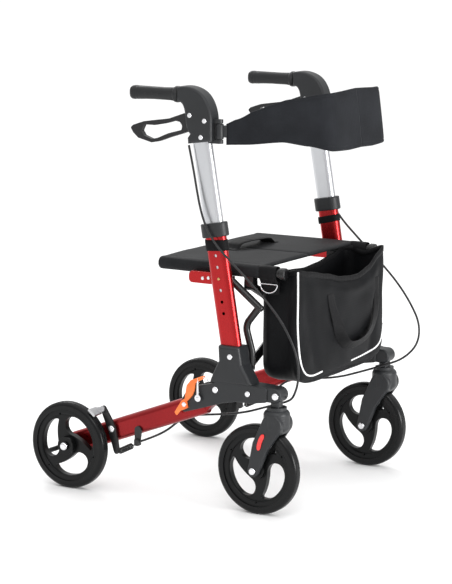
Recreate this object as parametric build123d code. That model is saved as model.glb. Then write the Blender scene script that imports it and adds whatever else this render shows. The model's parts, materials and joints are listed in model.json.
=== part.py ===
from build123d import *
import os
from math import atan2, cos, degrees, radians, sin, tan

# Folding aluminium rollator walker. Millimetres, +X forward, +Y to the walker's left, +Z up.
# The two side frames are mirror images, so each side piece is drawn for the left and mirrored.
# Drawing coordinates have X = 0 at the rear axle and Z = 0 on the floor; every piece is shifted
# by -MID_X when it is written, which puts the origin at the bottom centre of the whole walker.

os.makedirs("parts", exist_ok=True)

# ---- driving dimensions ----
WHEEL_R = 100.0  # 8 inch wheels
TYRE_WIDTH = 28.0
TYRE_INNER_R = 83.0
RIM_INNER_R = 70.5
AXLE_R = 5.0
RUNNING_GAP = 0.06
SIDE_Y = 250.0  # mid plane of each side frame, and of the front wheels
REAR_WHEEL_Y = 286.0
FRONT_AXLE_X = 480.0
SWIVEL_X = 525.0
FRONT_REACH_X = 612.0  # the loop of the left brake cable reaches furthest forward
MID_X = (FRONT_REACH_X - WHEEL_R) / 2

LEAN = 9.5  # the uprights lean back by this angle
UPRIGHT_X = 410.0  # the upright's axis passes through this point
UPRIGHT_Z = 366.0
UPRIGHT_SIZE = (50.0, 26.0)
UPRIGHT_BORE = (46.6, 22.6)
UPRIGHT_ENDS = (-72.0, 258.0)  # along the axis, from (UPRIGHT_X, UPRIGHT_Z)
TUBE_SIZE = (46.0, 22.0)
TUBE_BORE = (43.0, 19.0)
TUBE_ENDS = (110.0, 494.0)
HOLE_PITCH = 25.35
HOLE_FIRST = 73.0
HOLE_COUNT = 6
BUTTON_HOLE = 3  # the snap button sits in this hole, counted from 0
BUTTON_R = 3.2

HUB_HALF = 23.0
HUB_ROUND = 8.0
LEG_PIVOT = (383.0, 269.0)
LEG_SIZE = (49.0, 26.0)
LEG_ANGLE = 21.0
LEG_LENGTH = 370.0  # from the rear axle to the tube's front end
LEG_SLOT_HALF = 13.6

BRAKE_PIVOT = (105.0, 146.0)
BRAKE_PLATE = (265.0, 270.5)  # inner and outer faces of the brake arm
SHOE = (68.7, 183.7)
LATCH_PIVOT = (304.5, 228.0)
LATCH_THICKNESS = 4.0
LATCH_RIVET_R = 3.0
LEVER_PIVOT = (315.6, 865.0)
LEVER_HALF = 6.0

SIDE_RAIL_X = (291.0, 394.0)
SIDE_RAIL_Z = (494.0, 520.0)
STRUT_R = 8.0
PIN_Y = 205.0  # the folding brace's end pivots and the seat rails
PIN_LOW_Z = 290.0
PIN_MID_Z = 392.5
ARM_R = 11.0  # half width of the brace's bosses
ARM_TUBE_R = 9.5
REAR_ARM_X = 408.0
FRONT_ARM_X = 432.0
RAIL_Z = 527.0
RAIL_R = 11.0
RAIL_ENDS = (207.0, 508.0)
SEAT_SPAN = (207.0, 458.0)
SEAT_TOP = 541.0
SEAT_GAP_HALF = 16.0
SLEEVE_R = 14.0

BAND_HINGE_X = 380.0
BAND_BEND = (580.0, 118.0)
BAND_THICKNESS = 8.0
BAND_GAP_HALF = 3.0

BAG_X = (449.0, 543.0)
BAG_REAR_HALF = 190.0
BAG_FRONT_HALF = 190.0
BAG_Z = (257.0, 526.0)
BAG_WALL = 3.0

CABLE_R = 2.5

UPRIGHT_DIR = Vector(-sin(radians(LEAN)), 0, cos(radians(LEAN)))
LEG_DIR = Vector(cos(radians(LEG_ANGLE)), 0, sin(radians(LEG_ANGLE)))


# ---- drawing helpers ----
def cyl_x(x0, x1, y, z, r):
    return Pos((x0 + x1) / 2, y, z) * Rot(0, 90, 0) * Cylinder(r, x1 - x0)


def cyl_y(x, y0, y1, z, r):
    return Pos(x, (y0 + y1) / 2, z) * Rot(90, 0, 0) * Cylinder(r, y1 - y0)


def cyl_z(x, y, z0, z1, r):
    return Pos(x, y, (z0 + z1) / 2) * Cylinder(r, z1 - z0)


def box(x, y, z):
    """Block between two corners, each of x, y and z being a (low, high) pair."""
    size = Box(x[1] - x[0], y[1] - y[0], z[1] - z[0])
    return Pos(sum(x) / 2, sum(y) / 2, sum(z) / 2) * size


def side_prism(outline, y_low, y_high):
    """Solid between two Y planes, from an outline whose own axes are X and Z."""
    plane = Plane(origin=(0, y_high, 0), x_dir=(1, 0, 0), z_dir=(0, -1, 0))
    return extrude(plane * outline, amount=y_high - y_low)


def polygon(*points):
    return make_face(Polyline(*points, close=True))


def rounded(outline, radius):
    return fillet(outline.vertices(), radius)


def hull(*circles):
    """Outline that wraps circles given as (x, z, radius)."""
    edges = [Pos(x, z) * Circle(r).edge() for x, z, r in circles]
    return make_hull(edges)


def tube_plane(distance, y=SIDE_Y):
    """Plane across the upright's axis; its x runs along the long side of the oval."""
    origin = Vector(UPRIGHT_X, y, UPRIGHT_Z) + UPRIGHT_DIR * distance
    return Plane(origin=origin, x_dir=(cos(radians(LEAN)), 0, sin(radians(LEAN))), z_dir=UPRIGHT_DIR)


def upright_prism(size, low, high):
    """Oval prism along the upright's axis."""
    return extrude(tube_plane(low) * SlotOverall(*size), amount=high - low)


def on_upright(distance, y=SIDE_Y):
    return Vector(UPRIGHT_X, y, UPRIGHT_Z) + UPRIGHT_DIR * distance


def hole_distance(index):
    """Place of a height hole along the upright, counted from the lowest."""
    return HOLE_FIRST + index * HOLE_PITCH


def dome(x, y, z, r, height, toward=1):
    """Round fastener head on a face at y, standing out along +Y, or -Y for toward=-1."""
    head = cyl_y(x, min(y, y + toward * height), max(y, y + toward * height), z, r)
    rim = head.edges().filter_by(GeomType.CIRCLE).sort_by(Axis.Y)[-1 if toward > 0 else 0]
    return fillet(rim, height * 0.8)


def cable(points):
    """Round cable through points; every corner's arc is as large as its two runs allow."""
    route = [Vector(*p) for p in points]
    radii = []
    for a, b, c in zip(route, route[1:], route[2:]):
        run = min((b - a).length, (c - b).length)
        turn = radians((b - a).get_angle(c - b))
        radii.append(0.45 * run / tan(turn / 2))
    path = FilletPolyline(*route, radius=radii)
    start = Plane(origin=route[0], z_dir=route[1] - route[0])
    solid = sweep(start * Circle(CABLE_R), path=path)
    print("cable length", round(path.length), "tightest radius", round(min(radii)))
    return solid


# ---- wheels ----
def tyre(x, y):
    section = Pos((TYRE_INNER_R + WHEEL_R) / 2, 0) * Rectangle(WHEEL_R - TYRE_INNER_R, TYRE_WIDTH)
    outer = section.vertices().sort_by(Axis.X)[-2:]
    section = fillet(outer, 9)
    for groove_y in (-8, -3, 3, 8):
        section -= Pos(WHEEL_R + 0.2, groove_y) * Circle(1.1)
    return Pos(x, y, WHEEL_R) * revolve(section, Axis.Y)


def rim_openings(turn):
    """Three kidney-shaped openings that leave wide swirling spokes, and a small hole in each spoke's foot."""
    kidney = ((64, -2), (69, 12), (70, 35), (70, 60), (68, 80), (60, 94), (46, 101), (34, 98), (26.5, 80),
              (27, 58), (32, 36), (44, 14), (56, 1))
    openings = Sketch()
    for third in (0, 120, 240):
        edge = [Vector(r, 0).rotate(Axis.Z, angle + turn + third) for r, angle in kidney]
        openings += make_face(Spline(edge, periodic=True))
        openings += Pos(Vector(74, 0).rotate(Axis.Z, turn + third - 13)) * Circle(2.2)
    return openings


def rim(x, y, side_face, turn):
    """Moulded wheel with two ball bearings; side_face is the hub's half width, turn is where its spokes stand."""
    ring = Pos((RIM_INNER_R + TYRE_INNER_R) / 2, 0) * Rectangle(TYRE_INNER_R - RIM_INNER_R, 22)
    ring = fillet(ring.vertices().sort_by(Axis.X)[:2], 4)
    body = revolve(ring, Axis.Y)
    body += cyl_y(0, -7, 7, 0, RIM_INNER_R + 2)
    body += cyl_y(0, -side_face, side_face, 0, 21)
    openings = Plane(origin=(0, 20, 0), x_dir=(1, 0, 0), z_dir=(0, -1, 0)) * rim_openings(turn)
    body -= extrude(openings, amount=40)
    body -= cyl_y(0, -side_face, side_face, 0, 11)
    bearing = cyl_y(0, -side_face, -side_face + 7, 0, 11) - cyl_y(0, -60, 60, 0, AXLE_R + RUNNING_GAP)
    pieces = [body, bearing, mirror(bearing, about=Plane.XZ)]
    return [Pos(x, y, WHEEL_R) * piece for piece in pieces]


# ---- swivelling front fork ----
def caster_fork():
    axle_x, crown_top = FRONT_AXLE_X, 238.0
    crown = cyl_z(SWIVEL_X, SIDE_Y, 190, crown_top, 29)
    crown = fillet(crown.edges().filter_by(GeomType.CIRCLE), 11)
    crown += cyl_z(SWIVEL_X, SIDE_Y, 224, 244, 22)
    legs = side_prism(hull((526, 206, 25), (498, 158, 20)), SIDE_Y - 28, SIDE_Y + 28)
    legs += side_prism(hull((498, 158, 20), (axle_x, WHEEL_R, 14)), SIDE_Y - 28, SIDE_Y + 28)
    legs = fillet(legs.faces().sort_by(Axis.Y)[-1].edges(), 5)
    legs = fillet(legs.faces().sort_by(Axis.Y)[0].edges(), 5)
    fork = crown + legs
    fork -= cyl_y(axle_x, SIDE_Y - 17.5, SIDE_Y + 17.5, WHEEL_R, WHEEL_R + 5)
    fork -= cyl_z(SWIVEL_X, SIDE_Y, 180, 260, 6)
    fork -= cyl_y(axle_x, SIDE_Y - 40, SIDE_Y + 40, WHEEL_R, AXLE_R)
    return [fork]


def caster_hardware():
    """Axle bolt with its nut, and the steel stem that turns in the frame."""
    axle = cyl_y(FRONT_AXLE_X, SIDE_Y - 28, SIDE_Y + 28, WHEEL_R, AXLE_R)
    axle += dome(FRONT_AXLE_X, SIDE_Y + 28, WHEEL_R, 8, 4)
    axle += dome(FRONT_AXLE_X, SIDE_Y - 28, WHEEL_R, 8, 4, toward=-1)
    stem = cyl_z(SWIVEL_X, SIDE_Y, 198, 280, 6)
    return [axle, stem]


# ---- fixed side frame ----
def upright():
    low, high = UPRIGHT_ENDS
    tube = upright_prism(UPRIGHT_SIZE, low, high) - upright_prism(UPRIGHT_BORE, low, high)
    for index in range(HOLE_COUNT):
        at = on_upright(hole_distance(index))
        tube -= cyl_y(at.X, SIDE_Y + 5, SIDE_Y + 30, at.Z, 3.6)
    return [tube]


def collar():
    ring = upright_prism((63, 39), 240, 271)
    ring = fillet(ring.edges().filter_by(GeomType.LINE, reverse=True), 3)
    ring -= upright_prism(UPRIGHT_SIZE, 200, UPRIGHT_ENDS[1])
    ring -= upright_prism(UPRIGHT_BORE, 200, 300)
    return [ring]


def leg_path_slot():
    """Side view of the space that the rear leg's front end swings through as it folds up."""
    swing = polygon((290, 182.5), (366, 211.5), (397, 255.5), (384, 288.5), (358, 378), (290, 378))
    return swing + Pos(*LEG_PIVOT) * Circle(18.6)


def hub(arm_x):
    """Moulded hub: sleeve for the upright, cheeks for the rear leg, head for the front caster."""
    inner, outer = SIDE_Y - HUB_HALF, SIDE_Y + HUB_HALF
    sleeve_top = UPRIGHT_Z + 3
    sleeve = polygon((387, sleeve_top), (440, sleeve_top), (447, 330), (474, 284), (364, 282), (373, 303),
                     (389, 334))
    arm = polygon((297, 208), (291, 232), (303, 252), (334, 273), (372, 282), (384, 288), (470, 288),
                  (512, 287), (512, 255), (470, 248), (436, 248), (400, 241), (364, 229), (333, 219))
    head = hull((528, 271, 16.5), (508, 271, 16.5))
    body = side_prism(rounded(sleeve, 4), inner, outer)
    sides = body.faces().filter_by(Axis.Y).edges().filter_by(lambda e: e.center().Z < sleeve_top - 5)
    body = fillet(sides, HUB_ROUND)
    body += side_prism(rounded(arm, 6), inner, outer)
    body = fillet(body.faces().sort_by(Axis.Y)[-1].edges(), 2.5)
    body = fillet(body.faces().sort_by(Axis.Y)[0].edges(), 2.5)
    body += fillet(side_prism(head, SIDE_Y - 19, SIDE_Y + 19).faces().filter_by(Axis.Y).edges(), 5)
    body += cyl_z(SWIVEL_X, SIDE_Y, 245, 262, 13)
    body -= side_prism(leg_path_slot(), SIDE_Y - LEG_SLOT_HALF, SIDE_Y + LEG_SLOT_HALF)
    body -= upright_prism(UPRIGHT_SIZE, UPRIGHT_ENDS[0], 40)
    body -= cyl_y(*(LEG_PIVOT[0], 200, 300, LEG_PIVOT[1], AXLE_R))
    body -= cyl_z(SWIVEL_X, SIDE_Y, 240, 281, 6 + RUNNING_GAP)
    for ear in (arm_x - ARM_R - 8.5, arm_x + ARM_R + 0.7):
        side = Plane(origin=(ear, 0, 0), x_dir=(0, 1, 0), z_dir=(1, 0, 0))
        shape = hull((PIN_Y, PIN_LOW_Z, 12), (PIN_Y + 20, PIN_LOW_Z - 12, 12))
        lug = extrude(side * shape, amount=7.8)
        body += lug - box((ear - 1, ear + 9), (SIDE_Y - LEG_SLOT_HALF, SIDE_Y), (200, 320))
    body -= cyl_x(arm_x - 30, arm_x + 30, PIN_Y, PIN_LOW_Z, AXLE_R)
    for x, z in frame_rivet_places():
        body -= cyl_y(x, 200, 300, z, 3.5)
    return [body]


def frame_rivet_places():
    return ((420, 346), (465, 269))


def frame_fasteners(arm_x):
    """Rivets, the rear leg's pivot bolt, the caster head's cross screw and the brace's end pin."""
    outer = SIDE_Y + HUB_HALF
    pieces = [cyl_y(LEG_PIVOT[0], SIDE_Y - HUB_HALF, outer, LEG_PIVOT[1], AXLE_R)]
    pieces[0] += dome(LEG_PIVOT[0], outer, LEG_PIVOT[1], 7.5, 3.5)
    for x, z in frame_rivet_places():
        rivet = cyl_y(x, SIDE_Y + 13, outer, z, 3.5) + dome(x, outer, z, 6.5, 3)
        pieces.append(rivet)
    pieces.append(dome(532, SIDE_Y + 19, 270, 8, 4))
    latch_face = outer + 0.4 + LATCH_THICKNESS
    latch_rivet = cyl_y(LATCH_PIVOT[0], outer, latch_face + 0.3, LATCH_PIVOT[1], LATCH_RIVET_R)
    pieces.append(latch_rivet + dome(LATCH_PIVOT[0], latch_face + 0.3, LATCH_PIVOT[1], 5.5, 2.5))
    pin = cyl_x(arm_x - ARM_R - 12, arm_x + ARM_R + 12, PIN_Y, PIN_LOW_Z, AXLE_R)
    pieces.append(pin)
    for x, z in ((343, 508), (328, 506)):
        pieces.append(dome(x, SIDE_Y - 13, z, 4, 2))
    return pieces


def side_rail():
    """Flat rail on the inner face of the upright, with a ledge under the seat rail."""
    low, high = SIDE_RAIL_Z
    rear, front = SIDE_RAIL_X
    plate = box(SIDE_RAIL_X, (SIDE_Y - 30, SIDE_Y - 13), SIDE_RAIL_Z)
    ends = plate.edges().filter_by(Axis.Y)
    plate = fillet(ends.group_by(Axis.X)[0], 9)
    plate = fillet(plate.faces().filter_by(Axis.Y).edges(), 2)
    ledge = box((front - 40, front), (PIN_Y + 4, SIDE_Y - 28), (low + 2, RAIL_Z - SLEEVE_R - 0.6))
    return [plate + ledge]


def strut():
    """Bent tube from the hub, joined to a straight tube that comes down from the side rail."""
    y = SIDE_Y - 32.5
    path = FilletPolyline((441, y, 312), (444, y, 346), (426, y, 408), (461, y, 451), radius=(60, 30))
    start = Plane(origin=(441, y, 312), z_dir=(3, 0, 34))
    tube = sweep(start * Circle(STRUT_R), path=path)
    foot = cyl_y(441, y, SIDE_Y - HUB_HALF, 318, STRUT_R)
    top, knee = Vector(388, SIDE_Y - 22, 513), Vector(463, y, 449)
    stay = extrude(Plane(origin=top, z_dir=knee - top) * Circle(STRUT_R), amount=(knee - top).length)
    stay -= box((370, SIDE_RAIL_X[1]), (200, 250), (480, 530))
    return [tube + foot + stay + Pos(knee) * Sphere(STRUT_R)]


# ---- folding rear leg and its brake ----
def rear_leg():
    across = Vector(sin(radians(LEG_ANGLE)), 0, -cos(radians(LEG_ANGLE)))
    axle = Vector(0, SIDE_Y, WHEEL_R)
    end = axle + LEG_DIR * LEG_LENGTH
    half = LEG_SIZE[0] / 2
    base = Plane(origin=axle - LEG_DIR * half, x_dir=across, z_dir=LEG_DIR)
    tube = extrude(base * SlotOverall(*LEG_SIZE), amount=LEG_LENGTH + half)
    outline = hull((0, WHEEL_R, half + 0.4), (end.X, end.Z, half + 0.4))
    tube = tube & side_prism(outline, SIDE_Y - 14, SIDE_Y + 14)
    tongue = hull((*LEG_PIVOT, 17), (end.X - 8, end.Z - 3, 21))
    leg = tube + side_prism(tongue, SIDE_Y - 12, SIDE_Y + 12)
    hollow = Plane(origin=axle + LEG_DIR * 34, x_dir=across, z_dir=LEG_DIR)
    leg -= extrude(hollow * SlotOverall(LEG_SIZE[0] - 5, LEG_SIZE[1] - 5), amount=LEG_LENGTH - 60)
    drain = axle + LEG_DIR * 50
    leg -= cyl_y(drain.X, SIDE_Y - 20, SIDE_Y, drain.Z, 3)
    leg -= cyl_y(LEG_PIVOT[0], 200, 300, LEG_PIVOT[1], AXLE_R + RUNNING_GAP)
    leg -= cyl_y(0, 200, 300, WHEEL_R, AXLE_R)
    leg -= cyl_y(BRAKE_PIVOT[0], SIDE_Y, 300, BRAKE_PIVOT[1], 4)
    return [leg]


def leg_fasteners():
    """Rear axle with its domed nut, and the bolt that the brake arm turns on."""
    axle = cyl_y(0, SIDE_Y - 13, 309, WHEEL_R, AXLE_R)
    axle += dome(0, 309, WHEEL_R, 9.5, 6)
    axle += dome(0, SIDE_Y - 13, WHEEL_R, 9, 4, toward=-1)
    bolt = cyl_y(BRAKE_PIVOT[0], SIDE_Y + 8, 271, BRAKE_PIVOT[1], 4)
    bolt += dome(BRAKE_PIVOT[0], 271, BRAKE_PIVOT[1], 8, 4)
    return [axle, bolt]


def brake_bracket_parts():
    """Stop under the leg that holds the spring's front end and the cable adjuster."""
    low = Vector(168, 0, 123)
    plate = hull((low.X + 4, low.Z, 7), (low.X + 6, low.Z + 28, 9))
    bracket = side_prism(plate, SIDE_Y + 13, SIDE_Y + 17)
    block = box((low.X, low.X + 10), (SIDE_Y + 10, SIDE_Y + 24), (low.Z - 7, low.Z + 7))
    return bracket, block


def brake_arm():
    inner, outer = BRAKE_PLATE
    x, z = BRAKE_PIVOT
    upper = hull((x, z, 11), (SHOE[0] + 13, SHOE[1] + 6, 7))
    lower = hull((x, z, 11), (117, 96, 7))
    arm = side_prism(upper + lower, inner, outer)
    arm -= cyl_y(x, 200, 300, z, 4 + RUNNING_GAP)
    return [arm]


def brake_shoe():
    """Steel shoe across the tyre, carried by the brake arm."""
    inner, outer = BRAKE_PLATE
    tilt = degrees(atan2(SHOE[1] - WHEEL_R, SHOE[0]))
    foot = Rot(0, -tilt, 0) * Box(6, 32, 22)
    foot = Pos(SHOE[0], outer + 11, SHOE[1]) * foot
    stay = side_prism(hull((SHOE[0] + 3, SHOE[1] + 3, 6), (SHOE[0] + 13, SHOE[1] + 6, 6)), outer, outer + 4)
    shoe = fillet(foot.edges().filter_by(Axis.Y), 2) + stay
    shoe -= box((0, 200), (200, outer), (100, 300))
    return [shoe]


def coil_y_range():
    return (126.0, 166.0)


def brake_spring():
    """Return spring's outer shape, between the arm's foot and the bracket."""
    start, end = coil_y_range()
    ridges = 9
    pitch = (end - start) / ridges
    y, z0, z1 = SIDE_Y + 24.5, 95.0, 118.0
    axis = Vector(end - start, 0, z1 - z0)
    origin = Vector(start, y, z0)
    coil = extrude(Plane(origin=origin, z_dir=axis) * Circle(5.5), amount=axis.length)
    for index in range(ridges):
        at = origin + axis * ((index + 0.5) / ridges)
        ring = extrude(Plane(origin=at, z_dir=axis) * Circle(7), amount=pitch * 0.25, both=True)
        coil += ring
    return [coil]


def latch():
    """Lever that hooks under the rear leg and locks it open."""
    outline = polygon((282, 199), (277, 206), (296, 235), (304, 240), (309, 270), (320, 283), (341, 292),
                      (355, 297), (355, 291), (331, 277), (328, 259), (322, 247), (308, 233), (311, 219),
                      (291, 210))
    y = SIDE_Y + HUB_HALF + 0.4
    shift_x, shift_z = LATCH_PIVOT[0] - 302.5, LATCH_PIVOT[1] - 226.5
    plate = side_prism(Pos(shift_x, shift_z) * rounded(outline, 1.6), y, y + LATCH_THICKNESS)
    plate -= cyl_y(LATCH_PIVOT[0], 200, 300, LATCH_PIVOT[1], LATCH_RIVET_R + RUNNING_GAP)
    return [plate]


# ---- sliding handle ----
def handle_tube():
    tube = upright_prism(TUBE_SIZE, *TUBE_ENDS) - upright_prism(TUBE_BORE, *TUBE_ENDS)
    at = on_upright(hole_distance(BUTTON_HOLE))
    tube -= cyl_y(at.X, SIDE_Y + 2, SIDE_Y + 30, at.Z, BUTTON_R + 0.06)
    return [tube]


def bracket_outline():
    """Side view of the elbow from the grip's ring down to the tube."""
    outer = Spline((281, 925), (318, 925), (345, 912), (363, 885), (369, 855))
    bottom = Polyline((369, 855), (369, 811), (309, 803), (308, 816), (314, 824))
    inner = Spline((314, 824), (303, 850), (299, 878), (292, 890), (281, 892))
    return make_face(outer + bottom + inner + Line((281, 892), (281, 925)))


def handle_bracket():
    body = side_prism(bracket_outline(), SIDE_Y - 19, SIDE_Y + 19)
    body = fillet(body.faces().filter_by(Axis.Y).edges(), 6)
    lug_x = BAND_HINGE_X
    for z in ((806, 814), (850, 858)):
        body += box((355, lug_x), (SIDE_Y - 8, SIDE_Y + 8), z) + cyl_z(lug_x, SIDE_Y, *z, 8)
    body += cyl_z(lug_x, SIDE_Y, 806, 858, AXLE_R)
    body -= upright_prism(TUBE_SIZE, 400, TUBE_ENDS[1])
    body -= cyl_y(LEVER_PIVOT[0], SIDE_Y - LEVER_HALF - 0.6, SIDE_Y + LEVER_HALF + 0.6, LEVER_PIVOT[1], 26)
    slot = polygon((270, 780), (270, 866), (316, 891), (330, 862), (322, 812), (300, 800))
    body -= side_prism(slot, SIDE_Y - LEVER_HALF - 0.6, SIDE_Y + LEVER_HALF + 0.6)
    body -= cyl_y(LEVER_PIVOT[0], 200, 300, LEVER_PIVOT[1], 4)
    return [body]


def handle_screws():
    outer = SIDE_Y + 19
    pivot = cyl_y(LEVER_PIVOT[0], SIDE_Y - 19, outer, LEVER_PIVOT[1], 4)
    pivot += dome(LEVER_PIVOT[0], outer, LEVER_PIVOT[1], 5.5, 2.5)
    return [pivot, dome(353, outer, 854.5, 5.5, 2.5), dome(344, outer, 818.8, 5.5, 2.5)]


def grip():
    """Oval rubber grip, flared at the free end, with a collar ring against the elbow."""
    stations = ((156, 13.0, 15.0), (166, 16.0, 15.5), (190, 15.5, 14.8), (225, 14.5, 13.8), (270, 15.5, 14.6))
    sections = []
    for x, half_y, half_z in stations:
        plane = Plane(origin=(x, SIDE_Y, 907.5), x_dir=(0, 1, 0), z_dir=(1, 0, 0))
        sections.append(plane * Ellipse(half_y, half_z))
    body = loft(sections)
    ring_plane = Plane(origin=(270, SIDE_Y, 907), x_dir=(0, 1, 0), z_dir=(1, 0, 0))
    ring = extrude(ring_plane * Ellipse(19, 18), amount=11)
    return [body + fillet(ring.edges(), 3)]


def brake_lever():
    """Closed-loop lever with room for the fingers."""
    outer = polygon((323, 871), (309, 873), (253, 854), (188, 845), (160, 836), (153, 830), (160, 819),
                    (173, 808), (208, 799.5), (228, 803), (256, 813), (289, 823), (300, 827), (300.5, 842),
                    (307, 855), (323, 858))
    inner = polygon((188, 838), (218, 838), (246, 843), (271, 850), (282, 848), (288, 840), (286, 831),
                    (252, 822), (224, 810.5), (208, 807), (188, 814), (181, 824))
    face = rounded(outer, 3) - rounded(inner, 3)
    lever = side_prism(face, SIDE_Y - LEVER_HALF, SIDE_Y + LEVER_HALF)
    lever -= cyl_y(LEVER_PIVOT[0], 200, 300, LEVER_PIVOT[1], 4 + RUNNING_GAP)
    return [lever]


def snap_button():
    at = on_upright(hole_distance(BUTTON_HOLE))
    pin = cyl_y(at.X, SIDE_Y + 4, SIDE_Y + 15, at.Z, BUTTON_R)
    rim = pin.edges().filter_by(GeomType.CIRCLE).sort_by(Axis.Y)[-1]
    return [fillet(rim, 1.5)]


def backrest():
    """Half of the backrest band, from the hinge barrel at the handle to the middle."""
    hinge = Vector(BAND_HINGE_X, SIDE_Y, 0)
    bend = Vector(BAND_BEND[0], BAND_BEND[1], 0)
    along = bend - hinge
    run = along.length
    side = Plane(origin=hinge, x_dir=along, z_dir=along.cross(Vector(0, 0, 1)))
    flank = polygon((7, 817), (7, 847), (60, 880), (150, 903), (run, 912), (run, 785), (140, 806), (50, 806))
    band = extrude(side * flank, amount=BAND_THICKNESS / 2, both=True)
    rear, front = bend.X - BAND_THICKNESS / 2, bend.X + BAND_THICKNESS / 2
    band += box((rear, front), (BAND_GAP_HALF, bend.Y), (785, 912))
    band += cyl_z(bend.X, bend.Y, 785, 912, BAND_THICKNESS / 2)
    band += cyl_z(hinge.X, hinge.Y, 815, 849, 9)
    band -= cyl_z(hinge.X, hinge.Y, 800, 860, AXLE_R + RUNNING_GAP)
    return [band]


# ---- folding brace, seat and bag ----
def brace(arm_x):
    """Brace arm from the right hub up to the left seat rail, with that rail welded to it."""
    low, high = Vector(arm_x, -PIN_Y, PIN_LOW_Z), Vector(arm_x, PIN_Y, 2 * PIN_MID_Z - PIN_LOW_Z)
    across = Plane(origin=(arm_x - ARM_R, 0, 0), x_dir=(0, 1, 0), z_dir=(1, 0, 0))
    arm = extrude(Plane(origin=low, z_dir=high - low) * Circle(ARM_TUBE_R), amount=(high - low).length)
    for y, z in ((low.Y, low.Z), (high.Y, high.Z), (0, PIN_MID_Z)):
        arm += cyl_x(arm_x - ARM_R, arm_x + ARM_R, y, z, ARM_R)
    web = extrude(across * hull((PIN_Y, high.Z, ARM_R), (PIN_Y, RAIL_Z - 2, ARM_R - 3)), amount=2 * ARM_R)
    rail = cyl_x(*RAIL_ENDS, PIN_Y, RAIL_Z, RAIL_R)
    knob = cyl_x(RAIL_ENDS[1] - 1, RAIL_ENDS[1] + 14, PIN_Y, RAIL_Z, 13)
    knob = fillet(knob.edges().filter_by(GeomType.CIRCLE), 3)
    frame = arm + web + rail + knob
    frame -= cyl_x(arm_x - 20, arm_x + 20, low.Y, low.Z, AXLE_R + RUNNING_GAP)
    frame -= cyl_x(arm_x - 20, arm_x + 20, 0, PIN_MID_Z, AXLE_R + (RUNNING_GAP if arm_x == FRONT_ARM_X else 0))
    return frame


def brace_bolt():
    bolt = cyl_x(REAR_ARM_X - ARM_R, FRONT_ARM_X + ARM_R + 1, 0, PIN_MID_Z, AXLE_R)
    bolt += cyl_x(REAR_ARM_X - ARM_R - 4, REAR_ARM_X - ARM_R, 0, PIN_MID_Z, 9)
    bolt += cyl_x(FRONT_ARM_X + ARM_R + 0.4, FRONT_ARM_X + ARM_R + 4, 0, PIN_MID_Z, 9)
    return [bolt]


def seat_half():
    """Half of the fabric seat: a flat pad, and a sleeve that turns on the seat rail."""
    rear, front = SEAT_SPAN
    pad = box(SEAT_SPAN, (SEAT_GAP_HALF, PIN_Y - 9), (SEAT_TOP - 9, SEAT_TOP))
    notch = (arm_notch(), arm_notch(front=True))
    sleeve = cyl_x(rear, front, PIN_Y, RAIL_Z, SLEEVE_R)
    pad += box(SEAT_SPAN, (PIN_Y - 12, PIN_Y), (RAIL_Z + RAIL_R + 0.5, SEAT_TOP))
    half = pad + (sleeve - box(notch, (PIN_Y - 20, PIN_Y + 20), (RAIL_Z - 20, SEAT_TOP + 9)))
    half -= box(notch, (PIN_Y - 11, PIN_Y + 20), (RAIL_Z - 20, SEAT_TOP + 9))
    half -= cyl_x(rear - 1, front + 1, PIN_Y, RAIL_Z, RAIL_R + 0.35)
    return [half]


def arm_notch(front=False):
    """Gap in the seat's sleeve where the brace arms are welded to the rail."""
    return FRONT_ARM_X + ARM_R + 4 if front else REAR_ARM_X - ARM_R - 4


def bag_plan(inset, corner):
    """Plan of the bag, narrower at the rear, drawn in from its outside by inset."""
    rear, front = BAG_X[0] + inset, BAG_X[1] - inset
    wide, narrow = BAG_FRONT_HALF - inset, BAG_REAR_HALF - inset
    corners = Polygon((rear, -narrow), (front, -wide), (front, wide), (rear, narrow), align=None)
    return fillet(corners.vertices(), corner)


def bag():
    """Open-topped bag hanging from the front ends of the seat rails."""
    body = extrude(Pos(0, 0, BAG_Z[0]) * bag_plan(0, 20), amount=BAG_Z[1] - BAG_Z[0])
    body = fillet(body.faces().sort_by(Axis.Z)[0].edges(), 15)
    body -= extrude(Pos(0, 0, BAG_Z[0] + BAG_WALL + 9) * bag_plan(BAG_WALL, 17), amount=400)
    return [body]


# ---- brake cables ----
def cable_upper(side):
    """From the handle's boss, down past the tube, out in a free loop and back behind the caster."""
    boss_to_collar = ((311, 265, 800), (325, 269, 751), (336, 272, 702), (348, 274, 655), (366, 275, 615))
    small_loop = ((394, 274, 580), (429, 273, 550), (466, 272, 518), (504, 270, 483), (540, 268, 444),
                  (568, 266, 400), (585, 262, 352), (582, 256, 306), (565, 246, 270))
    large_loop = ((396, 274, 578), (432, 272, 546), (470, 270, 513), (509, 268, 480), (547, 266, 444),
                  (582, 264, 401), (610, 262, 352), (609, 256, 304), (577, 246, 268))
    hub_end = ((540, 224, 253), (506, 217, 241), (472, 216, 229), (440, 217, 218))
    loop = large_loop if side == "left" else small_loop
    return cable(boss_to_collar + loop + hub_end)


def cable_lower():
    """From the hub back along the rear leg's inner face, then under the leg to the brake's adjuster."""
    return cable(((438.8, 217, 217.6), (408, 218, 209), (372, 220, 203), (338, 226, 199), (306, 230.5, 195),
                  (280, 231.5, 187), (258, 232, 174), (236, 237, 154), (208, 252, 137), (183, 268, 127)))


def export(name, pieces):
    moved = [Pos(-MID_X, 0, 0) * piece for piece in pieces]
    shape = moved[0] if len(moved) == 1 else Compound(children=[Compound(p.wrapped) for p in moved])
    export_step(shape, f"parts/{name}.step")


def solids(pieces):
    """All solids of a list of shapes."""
    return [solid for piece in pieces for solid in piece.solids()]


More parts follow.
